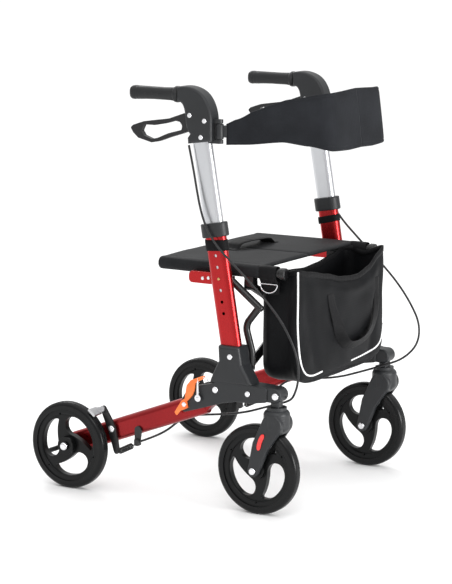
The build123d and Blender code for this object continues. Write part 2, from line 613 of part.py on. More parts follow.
def side_pieces(side, arm_x):
    """Every piece of one side, drawn for the left; arm_x is the brace arm pinned to its hub."""
    bracket, block = brake_bracket_parts()
    return {
        "upright": upright(),
        "collar": collar(),
        "hub": hub(arm_x),
        "frame_fasteners": frame_fasteners(arm_x),
        "side_rail": side_rail(),
        "strut": strut(),
        "rear_leg": rear_leg(),
        "leg_fasteners": leg_fasteners() + [bracket + block],
        "brake_arm": brake_arm(),
        "brake_shoe": brake_shoe(),
        "brake_spring": brake_spring(),
        "latch": latch(),
        "handle_tube": handle_tube(),
        "handle_bracket": handle_bracket(),
        "handle_screws": handle_screws(),
        "grip": grip(),
        "brake_lever": brake_lever(),
        "snap_button": snap_button(),
        "caster_fork": caster_fork(),
        "caster_hardware": caster_hardware(),
        "front_rim": rim(FRONT_AXLE_X, SIDE_Y, 16.5, 43),
        "front_tyre": [tyre(FRONT_AXLE_X, SIDE_Y)],
        "rear_rim": rim(0, REAR_WHEEL_Y, 19, 118),
        "rear_tyre": [tyre(0, REAR_WHEEL_Y)],
        "cable_upper": [cable_upper(side)],
        "cable_lower": [cable_lower()],
    }


for side, arm_x in (("left", FRONT_ARM_X), ("right", REAR_ARM_X)):
    for name, pieces in side_pieces(side, arm_x).items():
        pieces = solids(pieces)
        if side == "right":
            pieces = [mirror(piece, about=Plane.XZ) for piece in pieces]
        export(f"{name}_{side}", pieces)

export("brace_rear", solids([brace(REAR_ARM_X)]))
export("brace_front", solids([mirror(brace(FRONT_ARM_X), about=Plane.XZ)]))
export("brace_bolt", brace_bolt())
export("seat_left", seat_half())
export("seat_right", [mirror(seat_half()[0], about=Plane.XZ)])
export("backrest_left", backrest())
export("backrest_right", [mirror(backrest()[0], about=Plane.XZ)])
export("bag", bag())
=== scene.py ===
import json
import math

import bmesh
import bpy
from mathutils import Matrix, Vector, noise

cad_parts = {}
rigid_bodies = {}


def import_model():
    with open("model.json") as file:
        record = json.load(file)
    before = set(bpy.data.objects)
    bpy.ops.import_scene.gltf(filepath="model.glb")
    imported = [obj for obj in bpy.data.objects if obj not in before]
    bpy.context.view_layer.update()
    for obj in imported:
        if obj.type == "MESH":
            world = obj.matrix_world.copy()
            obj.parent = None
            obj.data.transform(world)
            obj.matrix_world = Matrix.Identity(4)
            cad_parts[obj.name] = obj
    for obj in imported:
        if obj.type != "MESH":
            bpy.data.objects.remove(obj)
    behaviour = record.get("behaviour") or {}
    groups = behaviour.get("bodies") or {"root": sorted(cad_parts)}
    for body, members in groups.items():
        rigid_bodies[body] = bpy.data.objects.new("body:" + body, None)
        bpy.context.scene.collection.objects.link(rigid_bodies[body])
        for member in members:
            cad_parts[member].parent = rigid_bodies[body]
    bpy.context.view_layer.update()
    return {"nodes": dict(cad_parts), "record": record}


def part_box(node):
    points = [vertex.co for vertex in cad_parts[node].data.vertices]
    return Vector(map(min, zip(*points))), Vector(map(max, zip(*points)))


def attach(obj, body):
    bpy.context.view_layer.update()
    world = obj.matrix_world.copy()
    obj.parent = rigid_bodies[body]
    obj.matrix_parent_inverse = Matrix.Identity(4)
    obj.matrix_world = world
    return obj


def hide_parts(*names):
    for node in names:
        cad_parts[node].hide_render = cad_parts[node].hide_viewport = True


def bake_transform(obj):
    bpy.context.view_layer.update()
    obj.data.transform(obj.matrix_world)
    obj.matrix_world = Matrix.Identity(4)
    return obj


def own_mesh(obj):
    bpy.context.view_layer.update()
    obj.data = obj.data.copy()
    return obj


for startup_object in list(bpy.data.objects):
    bpy.data.objects.remove(startup_object)

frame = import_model()

SIDES = {"right": -1, "left": 1}
REAR_X = sum(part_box("rear_rim_right"), Vector()).x / 2  # the rear axle's place along X


def at(x, y, z):
    """Point in the frame from mm: x from the rear axle, y from the middle, z from the floor."""
    return Vector((REAR_X + x / 1000, y / 1000, z / 1000))


# ---------------------------------------------------------------- materials
def shader_of(material):
    return material.node_tree.nodes["Principled BSDF"]


def new_material(name, color, roughness, metallic=0.0, coat=0.0, sheen=0.0, specular=0.5):
    material = bpy.data.materials.new(name)
    material.use_nodes = True
    shader = shader_of(material)
    shader.inputs["Base Color"].default_value = (*color, 1)
    shader.inputs["Roughness"].default_value = roughness
    shader.inputs["Metallic"].default_value = metallic
    shader.inputs["Specular IOR Level"].default_value = specular
    shader.inputs["Coat Weight"].default_value = coat
    shader.inputs["Coat Roughness"].default_value = 0.2
    shader.inputs["Sheen Weight"].default_value = sheen
    shader.inputs["Sheen Roughness"].default_value = 0.5
    return material


def node(material, kind, **values):
    """Adds a shader node; values are sockets, with underscores for spaces, or properties."""
    made = material.node_tree.nodes.new(kind)
    for key, value in values.items():
        socket = key.replace("_", " ")
        if socket in made.inputs:
            made.inputs[socket].default_value = value
        else:
            setattr(made, key, value)
    return made


def link(material, source, target):
    material.node_tree.links.new(source, target)


def place(material, scale=(1, 1, 1), rotation=(0, 0, 0)):
    """Object coordinates, stretched, for the textures of one material."""
    coordinates = node(material, "ShaderNodeTexCoord")
    mapping = node(material, "ShaderNodeMapping")
    mapping.inputs["Scale"].default_value = scale
    mapping.inputs["Rotation"].default_value = rotation
    link(material, coordinates.outputs["Object"], mapping.inputs["Vector"])
    return mapping.outputs["Vector"]


def vary_color(material, factor, low, high):
    """Blends the base colour between two colours by a texture's value."""
    ramp = node(material, "ShaderNodeValToRGB")
    ramp.color_ramp.elements[0].position = 0.3
    ramp.color_ramp.elements[1].position = 0.7
    ramp.color_ramp.elements[0].color = (*low, 1)
    ramp.color_ramp.elements[1].color = (*high, 1)
    link(material, factor, ramp.inputs["Fac"])
    link(material, ramp.outputs["Color"], shader_of(material).inputs["Base Color"])


def vary_roughness(material, factor, low, high):
    spread = node(material, "ShaderNodeMapRange", To_Min=low, To_Max=high)
    link(material, factor, spread.inputs["Value"])
    link(material, spread.outputs["Result"], shader_of(material).inputs["Roughness"])


def add_bump(material, height, strength, distance):
    """Stacks one more bump on the shader's normal."""
    normal = shader_of(material).inputs["Normal"]
    bump = node(material, "ShaderNodeBump", Strength=strength, Distance=distance)
    link(material, height, bump.inputs["Height"])
    if normal.is_linked:
        link(material, normal.links[0].from_socket, bump.inputs["Normal"])
    link(material, bump.outputs["Normal"], normal)


def grain(material, scale, detail=4.0, stretch=(1, 1, 1)):
    texture = node(material, "ShaderNodeTexNoise", Scale=scale, Detail=detail)
    link(material, place(material, stretch), texture.inputs["Vector"])
    return texture.outputs["Fac"]


def moulded_plastic(name, color, roughness, grain_depth=0.00008, specular=0.4):
    """Moulded plastic with a fine spark-eroded grain and faint flow marks."""
    material = new_material(name, color, roughness, specular=specular)
    pale = tuple(c * 1.35 + 0.001 for c in color)
    vary_color(material, grain(material, 9, 5), color, pale)
    vary_roughness(material, grain(material, 40, 5), roughness - 0.07, roughness + 0.09)
    add_bump(material, grain(material, 1300, 2), 0.35, grain_depth)
    return material


def tube_metal(name, color, roughness, metallic, coat, streaks):
    """Tube metal with fine lengthwise drawing marks."""
    material = new_material(name, color, roughness, metallic, coat)
    marks = grain(material, 900, 3, streaks)
    vary_roughness(material, marks, roughness - 0.05, roughness + 0.08)
    add_bump(material, marks, 0.06, 0.0001)
    return material


def woven(name, color, pitch, roughness, depth, sheen=0.02, specular=0.1):
    """Plain-woven fabric: crossing threads, cloudy wear and a little fuzz."""
    material = new_material(name, color, roughness, sheen=sheen, specular=specular)
    heights = []
    for turn in ((0, 0, 0), (0, 0, math.pi / 2), (0, math.pi / 2, 0)):
        wave = node(material, "ShaderNodeTexWave", Scale=1 / pitch / 20, Distortion=0.6)
        wave.inputs["Detail"].default_value = 1
        link(material, place(material, rotation=turn), wave.inputs["Vector"])
        heights.append(wave.outputs["Fac"])
    total = heights[0]
    for height in heights[1:]:
        add = node(material, "ShaderNodeMath", operation="ADD")
        link(material, total, add.inputs[0])
        link(material, height, add.inputs[1])
        total = add.outputs["Value"]
    add_bump(material, total, 0.5, depth)
    add_bump(material, grain(material, 60, 4), 0.15, 0.0012)
    pale = tuple(c * 1.6 + 0.001 for c in color)
    vary_color(material, grain(material, 14, 6), color, pale)
    return material


def make_materials():
    red = tube_metal("red_anodised", (0.40, 0.007, 0.010), 0.26, 0.85, 0.3, (1, 1, 0.06))
    vary_color(red, grain(red, 6, 3), (0.36, 0.006, 0.009), (0.46, 0.010, 0.011))
    # darker copy of the same red anodised paint for the rear legs: painted shade standing in for
    # their shaded side faces
    painted_shade_red_leg = tube_metal("red_anodised_painted_shade", (0.26, 0.005, 0.008), 0.28, 0.85, 0.25, (0.06, 1, 1))
    vary_color(painted_shade_red_leg, grain(painted_shade_red_leg, 6, 3), (0.23, 0.004, 0.007), (0.30, 0.008, 0.010))
    silver = tube_metal("silver_anodised", (0.62, 0.63, 0.65), 0.3, 0.95, 0.0, (1, 1, 0.04))
    chrome = new_material("chrome", (0.78, 0.78, 0.8), 0.16, 1.0)
    vary_roughness(chrome, grain(chrome, 300, 4), 0.1, 0.28)
    steel = new_material("plain_steel", (0.55, 0.55, 0.56), 0.35, 1.0)
    vary_roughness(steel, grain(steel, 200, 4), 0.25, 0.5)
    brass = new_material("brass", (0.62, 0.38, 0.16), 0.3, 1.0)
    vary_roughness(brass, grain(brass, 300, 3), 0.2, 0.45)
    orange = moulded_plastic("orange_plastic", (1.0, 0.2, 0.04), 0.38, 0.00004)
    vary_color(orange, grain(orange, 30, 4), (0.95, 0.17, 0.03), (1.0, 0.26, 0.07))
    black_metal = new_material("black_powder_coat", (0.006, 0.006, 0.0065), 0.3, 0.0, 0.15,
                               specular=0.4)
    add_bump(black_metal, grain(black_metal, 900, 3), 0.25, 0.0001)
    vary_roughness(black_metal, grain(black_metal, 30, 3), 0.24, 0.4)
    tyre = moulded_plastic("tyre_rubber", (0.0035, 0.0037, 0.004), 0.24, 0.00004, 0.22)
    jacket = new_material("cable_jacket", (0.01, 0.01, 0.011), 0.35, specular=0.4)
    vary_roughness(jacket, grain(jacket, 80, 3), 0.3, 0.45)
    reflector = new_material("red_reflector", (0.85, 0.02, 0.015), 0.25, 0.0, 0.6)
    prisms = node(reflector, "ShaderNodeTexVoronoi", Scale=600.0)
    link(reflector, place(reflector), prisms.inputs["Vector"])
    add_bump(reflector, prisms.outputs["Distance"], 0.4, 0.0002)
    piping = new_material("white_piping", (0.82, 0.82, 0.82), 0.4, 0.0)
    add_bump(piping, grain(piping, 500, 3), 0.3, 0.0002)
    vary_roughness(piping, grain(piping, 100, 2), 0.3, 0.5)
    return {
        "red_frame": red,
        "silver_tube": silver,
        "black_plastic": moulded_plastic("black_nylon", (0.0125, 0.0135, 0.015), 0.42),
        "lever_plastic": moulded_plastic("lever_nylon", (0.008, 0.008, 0.009), 0.36),
        "wheel_plastic": moulded_plastic("wheel_nylon", (0.0035, 0.0038, 0.004), 0.3,
                                         specular=0.2),
        "orange_plastic": orange,
        "black_metal": black_metal,
        "bright_steel": chrome,
        "steel": steel,
        "black_spring": black_metal,
        "brass_button": brass,
        "grip_rubber": moulded_plastic("grip_rubber", (0.011, 0.0115, 0.0125), 0.5, 0.00012,
                                       0.35),
        "tyre": tyre,
        "painted_shade_red_leg": painted_shade_red_leg,
        "cable_jacket": jacket,
        "seat_fabric": woven("seat_cloth", (0.010, 0.0105, 0.0115), 0.0016, 0.62, 0.0002),
        "backrest_fabric": woven("backrest_cloth", (0.009, 0.0098, 0.0118), 0.0011, 0.7,
                                 0.00012),
        "bag_fabric": woven("bag_cloth", (0.0042, 0.0044, 0.005), 0.0009, 0.5, 0.0001, 0.0,
                            0.08),
        "webbing": woven("webbing", (0.0045, 0.0045, 0.005), 0.0022, 0.6, 0.0003),
        "reflector": reflector,
        "piping": piping,
    }


MATERIALS = make_materials()

SHARP_EDGE = math.radians(32)  # faces that meet at more than this keep a sharp edge


def dress_cad_nodes():
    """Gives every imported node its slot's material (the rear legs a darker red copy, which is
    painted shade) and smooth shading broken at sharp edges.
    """
    slots = {part["node"]: part["material_slot"] for part in frame["record"]["subparts"]}
    for name, obj in frame["nodes"].items():
        obj.data.materials.clear()
        # the rear legs take the darker red copy: painted shade, since their paint is the same red as
        # the rest of the frame
        slot = "painted_shade_red_leg" if name.startswith("rear_leg_") else slots[name]
        obj.data.materials.append(MATERIALS[slot])
        obj.data.polygons.foreach_set("use_smooth", [True] * len(obj.data.polygons))
        split = obj.modifiers.new("sharp_edges", "EDGE_SPLIT")
        split.split_angle = SHARP_EDGE


dress_cad_nodes()


# ---------------------------------------------------------------- mesh helpers
def mesh_object(name, points, faces, material, body=None, smooth=True):
    data = bpy.data.meshes.new(name)
    data.from_pydata([tuple(p) for p in points], [], faces)
    data.validate()
    made = bpy.data.objects.new(name, data)
    bpy.context.scene.collection.objects.link(made)
    data.materials.append(MATERIALS[material])
    data.polygons.foreach_set("use_smooth", [smooth] * len(data.polygons))
    if body:
        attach(made, body)
    return made


def subdivide(obj, levels):
    modifier = obj.modifiers.new("subdivision", "SUBSURF")
    modifier.levels = levels
    modifier.render_levels = levels


def thicken(obj, thickness, offset):
    modifier = obj.modifiers.new("thickness", "SOLIDIFY")
    modifier.thickness = thickness
    modifier.offset = offset


def apply_modifiers(obj):
    """Bakes a piece's modifiers into its mesh."""
    graph = bpy.context.evaluated_depsgraph_get()
    graph.update()
    baked = bpy.data.meshes.new_from_object(obj.evaluated_get(graph))
    obj.modifiers.clear()
    obj.data = baked


def ring_loft(name, rings, material, body=None, caps=True, closed_path=False):
    """Skin over a row of rings that all have the same number of points."""
    count = len(rings[0])
    points = [p for ring in rings for p in ring]
    faces = []
    rows = len(rings) if closed_path else len(rings) - 1
    for i in range(rows):
        a, b = i * count, (i + 1) % len(rings) * count
        for j in range(count):
            k = (j + 1) % count
            faces.append((a + j, a + k, b + k, b + j))
    if caps and not closed_path:
        faces.append(tuple(range(count))[::-1])
        faces.append(tuple(range((len(rings) - 1) * count, len(rings) * count)))
    return mesh_object(name, points, faces, material, body)


def smooth_path(points, steps, closed=False):
    """Points along a smooth curve whose control points are given."""
    curve = bpy.data.curves.new("path", "CURVE")
    curve.dimensions = "3D"
    spline = curve.splines.new("NURBS")
    spline.points.add(len(points) - 1)
    for point, place_at in zip(spline.points, points):
        point.co = (*place_at, 1)
    spline.order_u = 3
    spline.use_endpoint_u = not closed
    spline.use_cyclic_u = closed
    spline.resolution_u = steps
    holder = bpy.data.objects.new("path", curve)
    data = bpy.data.meshes.new_from_object(holder)
    found = [v.co.copy() for v in data.vertices]
    bpy.data.objects.remove(holder)
    bpy.data.curves.remove(curve)
    bpy.data.meshes.remove(data)
    return found


def frames_along(path, up=Vector((0, 0, 1)), closed=False):
    """(point, side, up) along a path, turning as little as possible."""
    found = []
    count = len(path)
    reference = up
    for i, point in enumerate(path):
        before = path[i - 1] if i or closed else point
        after = path[(i + 1) % count] if i < count - 1 or closed else point
        tangent = (after - before).normalized()
        side = tangent.cross(reference).normalized()
        reference = side.cross(tangent).normalized()
        found.append((point, side, reference))
    return found


def circle_turns(count):
    """Angles of the points of a ring."""
    return [2 * math.pi * k / count for k in range(count)]


def round_tube(name, path, radius, material, body=None, sides=12, closed=False):
    """Round bar of one radius along a path."""
    turns = circle_turns(sides)
    rings = []
    for point, side, up in frames_along(path, closed=closed):
        rings.append([point + (side * math.cos(t) + up * math.sin(t)) * radius for t in turns])
    return ring_loft(name, rings, material, body, closed_path=closed)


STRAP_EDGE = 0.8  # share of the thickness left at a strap's corners
STRAP_BULGE = 1.01  # its edges stand this much further out in the middle


def flat_strap(name, path, widths, width, thickness, body, material="webbing", levels=1):
    """Webbing along a path; widths is the direction of its width, or one for each point."""
    rings = []
    for i, point in enumerate(path):
        across = widths[i].normalized() if isinstance(widths, list) else widths.normalized()
        before, after = path[max(i - 1, 0)], path[min(i + 1, len(path) - 1)]
        normal = (after - before).cross(across).normalized()
        a, b = across * width / 2, normal * thickness / 2 * STRAP_EDGE
        bulge = a * STRAP_BULGE
        rings.append([point + a - b, point + bulge, point + a + b,
                      point - a + b, point - bulge, point - a - b])
    strap = ring_loft(name, rings, material, body)
    subdivide(strap, levels)
    apply_modifiers(strap)
    return strap


def domed_head(name, place_at, direction, radius, height, body, material="bright_steel"):
    """Round rivet or screw head, as a spun profile."""
    direction = direction.normalized()
    side = direction.orthogonal().normalized()
    up = direction.cross(side)
    profile = [(radius, 0), (radius, height * 0.35), (radius * 0.86, height * 0.75),
               (radius * 0.5, height), (radius * 0.12, height * 1.04)]
    rings = []
    for r, h in profile:
        centre = place_at + direction * h
        rings.append([centre + (side * math.cos(t) + up * math.sin(t)) * r
                      for t in circle_turns(20)])
    return ring_loft(name, rings, material, body)


def cloth_noise(point, scale, amount, seed=0.0):
    """Smooth repeatable wrinkle height at a point."""
    return noise.noise(point * scale + Vector((seed, seed * 1.7, -seed))) * amount


def blend_values(table, place_on):
    """Smoothly interpolated value from (place, value) pairs."""
    if place_on <= table[0][0]:
        return table[0][1]
    for (a, low), (b, high) in zip(table, table[1:]):
        if place_on <= b:
            t = (place_on - a) / (b - a)
            t = t * t * (3 - 2 * t) * 0.5 + t * 0.5
            return low + (high - low) * t
    return table[-1][1]


def finish_soft(nodes=()):
    if nodes:
        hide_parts(*nodes)


# ---------------------------------------------------------------- camera, light and floor
LENS = 134.63
SENSOR_WIDTH = 36
CAMERA_AT = (2.5953, -4.2214, 1.3047)
CAMERA_BACK = Vector((0.5179, -0.8377, 0.1732))  # from the walker towards the camera


def add_camera():
    data = bpy.data.cameras.new("camera")
    data.lens = LENS
    data.sensor_width = SENSOR_WIDTH
    camera = bpy.data.objects.new("camera", data)
    bpy.context.scene.collection.objects.link(camera)
    camera.location = CAMERA_AT
    camera.rotation_euler = (-CAMERA_BACK).to_track_quat("-Z", "Y").to_euler()
    bpy.context.scene.camera = camera


def area_light(name, location, target, size, power):
    data = bpy.data.lights.new(name, "AREA")
    data.shape = "DISK"
    data.size = size
    data.energy = power
    light = bpy.data.objects.new(name, data)
    bpy.context.scene.collection.objects.link(light)
    light.location = location
    light.rotation_euler = (Vector(target) - Vector(location)).to_track_quat("-Z", "Y").to_euler()


WORLD_HORIZON = 0.45  # the dome's brightness at the horizon and overhead
WORLD_ZENITH = 1.55
SOFT_BOXES = (
    # name, place, what it shines at, diameter in m, power in W
    ("key", (1.6, -2.6, 2.8), (0, 0, 0.5), 1.2, 22),
    ("side", (2.6, -0.25, 0.62), (0, 0, 0.42), 1.1, 42),
    ("back", (-2.4, 1.8, 2.4), (0, 0, 0.6), 1.4, 30),
)
FLOOR_REACH = 30  # half the floor's width in m


def add_studio():
    """Bright overhead dome that falls off towards the horizon, with three soft boxes."""
    world = bpy.data.worlds.new("studio")
    world.use_nodes = True
    tree = world.node_tree
    background = tree.nodes["Background"]
    background.inputs["Color"].default_value = (1, 1, 1, 1)
    direction = tree.nodes.new("ShaderNodeTexCoord")
    parts = tree.nodes.new("ShaderNodeSeparateXYZ")
    fall_off = tree.nodes.new("ShaderNodeMapRange")
    tree.links.new(direction.outputs["Generated"], parts.inputs["Vector"])
    tree.links.new(parts.outputs["Z"], fall_off.inputs["Value"])
    fall_off.inputs["From Min"].default_value = 0.0
    fall_off.inputs["From Max"].default_value = 1.0
    fall_off.inputs["To Min"].default_value = WORLD_HORIZON
    fall_off.inputs["To Max"].default_value = WORLD_ZENITH
    tree.links.new(fall_off.outputs["Result"], background.inputs["Strength"])
    bpy.context.scene.world = world
    bpy.context.scene.view_settings.view_transform = "Standard"
    for soft_box in SOFT_BOXES:
        area_light(*soft_box)
    r = FLOOR_REACH
    corners = [(-r, -r, 0), (r, -r, 0), (r, r, 0), (-r, r, 0)]
    floor = mesh_object("floor", corners, [(0, 1, 2, 3)], "floor", smooth=False)


floor_material = new_material("pale_floor", (0.93, 0.93, 0.93), 0.7)
vary_roughness(floor_material, grain(floor_material, 3, 3), 0.65, 0.75)
MATERIALS["floor"] = floor_material

add_camera()
add_studio()


# ---------------------------------------------------------------- brake cables
def cable_points(side, points):
    """The route's control points, mirrored for the right side."""
    return [at(x, y * SIDES[side], z) for x, y, z in points]


BOSS_TO_COLLAR = ((311, 265, 800), (325, 269, 751), (336, 272, 702), (348, 274, 655), (366, 275, 615))
FREE_LOOP = {
    "right": ((394, 274, 580), (429, 273, 550), (466, 272, 518), (504, 270, 483), (540, 268, 444),
              (568, 266, 400), (585, 262, 352), (582, 256, 306), (565, 246, 270)),
    "left": ((396, 274, 578), (432, 272, 546), (470, 270, 513), (509, 268, 480), (547, 266, 444),
             (582, 264, 401), (610, 262, 352), (609, 256, 304), (577, 246, 268)),
}
HUB_END = ((540, 224, 253), (506, 217, 241), (472, 216, 229), (440, 217, 218))
LOWER_ROUTE = ((438.8, 217, 217.6), (408, 218, 209), (372, 220, 203), (338, 226, 199),
               (306, 230.5, 195), (280, 231.5, 187), (258, 232, 174), (236, 237, 154),
               (208, 252, 137), (183, 268, 127))
CABLE_RADIUS = 0.0025
CABLE_STEPS = 10


def add_cables(side):
    upper_route = cable_points(side, BOSS_TO_COLLAR + FREE_LOOP[side] + HUB_END)
    path = smooth_path(upper_route, CABLE_STEPS)
    upper = round_tube("brake_cable_upper_" + side, path, CABLE_RADIUS, "cable_jacket")
    finish_soft(["cable_upper_" + side])
    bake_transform(upper)
    path = smooth_path(cable_points(side, LOWER_ROUTE), CABLE_STEPS)
    lower = round_tube("brake_cable_lower_" + side, path, CABLE_RADIUS, "cable_jacket")
    finish_soft(["cable_lower_" + side])
    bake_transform(lower)


for side in SIDES:
    add_cables(side)


# ---------------------------------------------------------------- grips
GRIP_STATIONS = (
    # x, half width, half height: rounded end, flared lip, finger side, ring against the elbow
    (154.5, 6, 6), (155, 10, 10), (156.5, 13.5, 13), (160, 16, 15), (165, 16.8, 15.4),
    (169, 16.2, 15), (171, 15.2, 14.2), (173, 15.9, 14.8), (176, 16, 14.9), (178, 15.2, 14.2),
    (180, 15.7, 14.7), (195, 15.4, 14.5), (215, 14.9, 14.1), (240, 14.6, 13.8), (258, 15.1, 14.2),
    (266, 15.8, 14.9), (268.5, 16.2, 15.4), (269.5, 18.4, 17.4), (271.5, 19, 18), (275.5, 19, 18),
    (277.5, 18.4, 17.4), (278.5, 17.2, 16.2), (280.5, 16.6, 15.6),
)
GRIP_AXIS_Z = 907.5
GRIP_POINTS = 48
GRIP_RING_FROM = 267  # in front of this the grip is round, behind it squarish
FINGER_RESTS = (182, 262)
FINGER_PITCH = 20
FINGER_DEPTH = 0.9


def squarish(turn, half_width, half_height, power):
    """Point of a superellipse: power 2 is an ellipse, more is squarer."""
    c, s = math.cos(turn), math.sin(turn)
    wide = math.copysign(abs(c) ** (2 / power), c) * half_width
    high = math.copysign(abs(s) ** (2 / power), s) * half_height
    return wide, high


def add_grip(side):
    centre_y = 250 * SIDES[side]
    rings = []
    first, last = FINGER_RESTS
    for x, half_width, half_height in GRIP_STATIONS:
        power = 2.0 if x > GRIP_RING_FROM else 2.7
        ring = []
        for turn in circle_turns(GRIP_POINTS):
            wide, high = squarish(turn, half_width, half_height, power)
            if first < x < last and high < 0:  # shallow rests for the fingers on the underside
                rest = 0.5 - 0.5 * math.cos(2 * math.pi * (x - first) / FINGER_PITCH)
                high += FINGER_DEPTH * rest * (-high / half_height)
            ring.append(at(x, centre_y + wide, GRIP_AXIS_Z + high))
        rings.append(ring)
    dense = []
    for a, b in zip(rings, rings[1:]):
        gap = (b[0] - a[0]).x
        steps = max(1, int(gap / 0.004))
        for k in range(steps):
            dense.append([p.lerp(q, k / steps) for p, q in zip(a, b)])
    dense.append(rings[-1])
    grip = ring_loft("grip_cover_" + side, dense, "grip_rubber", "handle_" + side)
    finish_soft(["grip_" + side])
    for index, x in enumerate((198, 215, 231)):
        stud_at = at(x, centre_y + SIDES[side] * 14.6, 908)
        outward = Vector((0, SIDES[side], 0))
        stud = domed_head(f"grip_stud_{side}_{index}", stud_at, outward, 0.0021, 0.0012,
                          "handle_" + side, "grip_rubber")


for side in SIDES:
    add_grip(side)


# ---------------------------------------------------------------- brake springs, reflectors, links
SPRING_TURNS, SPRING_STEPS = 17, 16
SPRING_RADIUS = 0.0062
SPRING_WIRE_RADIUS = 0.00095


def add_spring(side):
    """Coiled return spring that narrows to a hook at each end."""
    low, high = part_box("brake_spring_" + side)
    y = (low.y + high.y) / 2
    start = Vector((low.x + 0.004, y, low.z + 0.0075))
    end = Vector((high.x - 0.004, y, high.z - 0.0075))
    axis = (end - start).normalized()
    across = Vector((0, 1, 0))
    up = across.cross(axis)
    last = SPRING_TURNS * SPRING_STEPS
    path = []
    for k in range(last + 1):
        t = k / last
        radius = SPRING_RADIUS * (0.45 + 0.55 * min(1, t * 12, (1 - t) * 12))
        a = 2 * math.pi * k / SPRING_STEPS
        path.append(start.lerp(end, t) + (across * math.cos(a) + up * math.sin(a)) * radius)
    hook_in = [start - axis * 0.007 + up * 0.001, start - axis * 0.002]
    hook_out = [end + axis * 0.002, end + axis * 0.007 + up * 0.001]
    spring = round_tube("return_spring_" + side, hook_in + path + hook_out, SPRING_WIRE_RADIUS,
                        "black_spring", "leg_" + side, sides=6)
    finish_soft(["brake_spring_" + side])


def add_reflector(side):
    """Curved red reflector strip let into the outer face of the fork leg."""
    low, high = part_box("caster_fork_" + side)
    outer_y = high.y if SIDES[side] > 0 else low.y
    centre = [(509, 186), (504, 178), (499.5, 168), (497, 158), (495.5, 149)]
    path = [at(x, 0, z) for x, z in centre]
    for p in path:
        p.y = outer_y + SIDES[side] * 0.0006
    path = smooth_path(path, 6)
    count = len(path)
    rings = []
    for i, (point, across, up) in enumerate(frames_along(path, up=Vector((0, 1, 0)))):
        t = i / (count - 1)
        half = 0.0052 * math.sqrt(max(0.02, 1 - abs(2 * t - 1) ** 7))
        ring = []
        for turn in circle_turns(16):
            wide, proud = squarish(turn, half, 0.0011, 3)
            ring.append(point + across * wide + Vector((0, 1, 0)) * proud)
        rings.append(ring)
    strip = ring_loft("fork_reflector_" + side, rings, "reflector", "caster_" + side)


UPRIGHT_LEAN = 0.1673  # the upright goes this far back for each unit of height
UPRIGHT_HALF_WIDTH = 13
UPRIGHT_HALF_FLAT = 12.6


def upright_oval(side, z, grow):
    """Ring round the upright tube at a height, this much larger than the tube."""
    axis_x = 410 - UPRIGHT_LEAN * (z - 366)
    round_part = UPRIGHT_HALF_WIDTH + grow
    ring = []
    for turn in circle_turns(40):
        c, s = math.cos(turn), math.sin(turn)
        straight = UPRIGHT_HALF_FLAT * max(-1, min(1, c * 2.2))
        ring.append(at(axis_x + straight + round_part * c, SIDES[side] * 250 + round_part * s, z))
    return ring


def add_tie_band(side, low, high, slant):
    """Black hook-and-loop band that ties the cable to the upright, below the collar."""
    steps = 7
    outline = [(low + 0.4, 0.25)]
    for k in range(steps + 1):
        bulge = 1.5 - 0.5 * abs(2 * k / steps - 1) ** 4
        outline.append((low + (high - low) * k / steps, bulge))
    outline.append((high - 0.4, 0.25))
    rings = []
    for z, grow in outline:
        ring = upright_oval(side, z, grow)
        for p in ring:
            p.z += slant * (p.x - ring[0].x)
            p.z += cloth_noise(p, 30, 0.0008, low)
        rings.append(ring)
    band = ring_loft("tie_band_" + side, rings, "webbing", "frame_" + side)


def add_tie_tail():
    """Loose end of the left band, hanging down behind the tube."""
    controls = [at(x, y, z) for x, y, z in (
        (366, 249, 583), (361, 252, 579), (357, 255, 568),
        (356.5, 256, 555), (359, 256, 543), (363, 255, 536))]
    path = smooth_path(controls, 6)
    tail = flat_strap("tie_band_tail", path, Vector((0.25, 1, 0)), 0.019, 0.0016, "frame_left")


LINK_X = 341  # the plate's middle line, its upper end and the eye near its lower end
LINK_TOP_Z = 290
LINK_DROP = 51.5
LINK_EYE_Z = 246.5
LINK_EYE_R = 8.0
LINK_BACK_Y = 278.6
LINK_FRONT_Y = 280.4
LINK_LAYERS = ((0.0, 0.8), (0.25, 0.2), (1.0, 0.0), (1.6, 0.3), (1.8, 0.9))  # depth, inset


def add_link(side):
    """Wire link with a teardrop plate that hangs from the latch's hook over the hub's face."""
    s = SIDES[side]
    wire = [at(x, s * LINK_FRONT_Y, z)
            for x, z in ((356, 294.5), (362, 295.5), (367, 292), (370, 286))]
    wire_mesh = round_tube("latch_wire_" + side, smooth_path(wire, 6), 0.0011, "bright_steel",
                           "latch_body_" + side, sides=8)
    outline = []
    for turn in circle_turns(48):
        low = 0.5 - 0.5 * math.cos(turn)
        z = LINK_TOP_Z - LINK_DROP * low
        eye = math.sqrt(max(0.0, LINK_EYE_R ** 2 - (z - LINK_EYE_Z) ** 2))
        stem = (1.7 + 1.6 * low) * min(1.0, 6 * low)
        outline.append((LINK_X + math.copysign(max(stem * (z > 246), eye), math.sin(turn)), z))
    rings = []
    for depth, inset in LINK_LAYERS:
        ring = []
        for x, z in outline:
            middle = Vector((LINK_X, 0, max(LINK_EYE_Z, min(LINK_TOP_Z - 4, z))))
            point = Vector((x, 0, z))
            inward = middle - point
            if inward.length > 0.01:
                point += inward.normalized() * inset
            ring.append(at(point.x, s * (LINK_BACK_Y + depth), point.z))
        rings.append(ring)
    plate = ring_loft("latch_link_" + side, rings, "bright_steel", "latch_body_" + side)
    domed_head("latch_link_eye_" + side, at(LINK_X, s * LINK_FRONT_Y, LINK_EYE_Z), Vector((0, s, 0)),
               0.0034, 0.0011, "latch_body_" + side)


def blacken_brackets(side):
    """Blackens the stop for the spring and the cable's end, not the node's axle and bolts."""
    obj = frame["nodes"]["leg_fasteners_" + side]
    obj.data.materials.append(MATERIALS["black_metal"])
    rear, front = at(150, 0, 0).x, at(195, 0, 0).x
    for face in obj.data.polygons:
        if rear < face.center.x < front:
            face.material_index = 1


TIPPING_PAD = (  # share of the pad's length, radius
    (0.0, 4.9), (0.04, 6.0), (0.2, 6.3), (0.5, 6.0), (0.8, 6.3), (0.95, 5.9), (1.0, 4.8))


